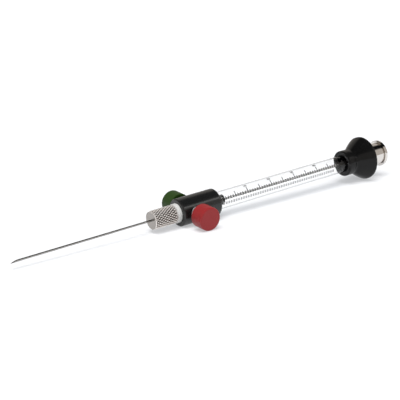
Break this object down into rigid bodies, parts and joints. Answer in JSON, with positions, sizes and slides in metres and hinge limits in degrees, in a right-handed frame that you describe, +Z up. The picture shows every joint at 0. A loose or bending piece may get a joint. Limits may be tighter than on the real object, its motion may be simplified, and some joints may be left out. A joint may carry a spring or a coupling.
{
  "type": "microsyringe",
  "caption": "Valved gas-tight microsyringe: fine needle in a knurled finger nut, push-button slide valve, graduated glass barrel, finger flange and steel plunger.",
  "frame": {"origin": "on the needle's axis, where the needle leaves the front face of its nut", "axes": "+X along the barrel towards the plunger knob, +Z up, push buttons along Y with the red one towards -Y"},
  "size_m": [0.1753, 0.0262, 0.018],
  "materials": {
    "needle_steel": "satin drawn steel",
    "fitting_steel": "satin turned steel",
    "nut_steel": "satin turned steel with a diamond knurl",
    "white_seal": "soft matt white",
    "white_plastic": "satin white",
    "black_body": "semi-gloss machined black",
    "red_plastic": "satin red",
    "green_plastic": "satin dark green",
    "barrel_glass": "clear, polished",
    "black_plug": "satin black",
    "black_flange": "moulded semi-gloss black",
    "black_rubber": "matt",
    "rod_steel": "ground and polished steel",
    "knob_steel": "polished turned steel"
  },
  "bodies": {
    "syringe": {"needle_tube": "needle_steel", "needle_ferrule": "fitting_steel", "needle_gasket": "white_seal", "nose_stud": "fitting_steel", "nose_ring": "white_plastic", "valve_body": "black_body", "valve_sleeve": "white_seal", "glass_barrel": "barrel_glass", "bore_plug": "black_plug", "barrel_seal": "white_seal", "finger_flange": "black_flange", "grip_ring": "black_rubber"},
    "finger_nut": {"needle_nut": "nut_steel"},
    "valve_slide": {"push_rod": "fitting_steel", "red_button": "red_plastic", "green_button": "green_plastic"},
    "plunger": {"plunger_rod": "rod_steel", "plunger_tip": "white_seal", "plunger_knob": "knob_steel"}
  },
  "joints": [
    {"name": "plunger_pull", "type": "slide", "parent": "syringe", "child": "plunger", "axis": [1, 0, 0], "range_m": [0, 0.06]},
    {"name": "valve_push", "type": "slide", "parent": "syringe", "child": "valve_slide", "axis": [0, 1, 0], "range_m": [0, 0.002]},
    {"name": "nut_turn", "type": "hinge", "parent": "syringe", "child": "finger_nut", "pos_m": [0.005, 0, 0], "axis": [1, 0, 0], "continuous": true}
  ]
}
